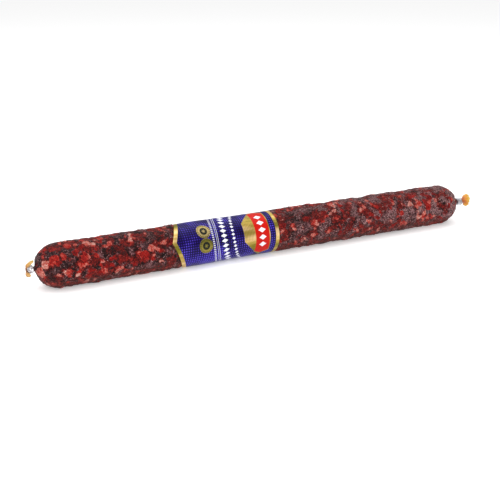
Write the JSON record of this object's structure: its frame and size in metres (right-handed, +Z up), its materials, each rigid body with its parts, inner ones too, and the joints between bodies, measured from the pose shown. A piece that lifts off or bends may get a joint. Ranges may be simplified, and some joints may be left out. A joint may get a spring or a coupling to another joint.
{
  "type": "cured sausage",
  "caption": "Whole dry-cured sausage stick with domed ends, gathered and clipped casing, pleated casing tails and a printed wrap label; lies on a surface.",
  "frame": {"origin": "on the resting plane, under the middle of the overall length", "axes": "+X runs along the sausage from its left clip to its right clip, the front of the label faces -Y, and +Z is up"},
  "size_m": [0.4876, 0.04, 0.0396],
  "materials": {
    "cured_meat": "wrinkled and satin, dark lean flecked with red and salmon fat under a tight casing",
    "casing_tail": "dry amber casing, thin and translucent",
    "foil_label": "metallised paper printed indigo, gold and red",
    "clip_aluminium": "bright, pressed"
  },
  "bodies": {
    "root": {"sausage": "cured_meat", "label_band": "foil_label", "left_clip": "clip_aluminium", "right_clip": "clip_aluminium"}
  },
  "joints": []
}
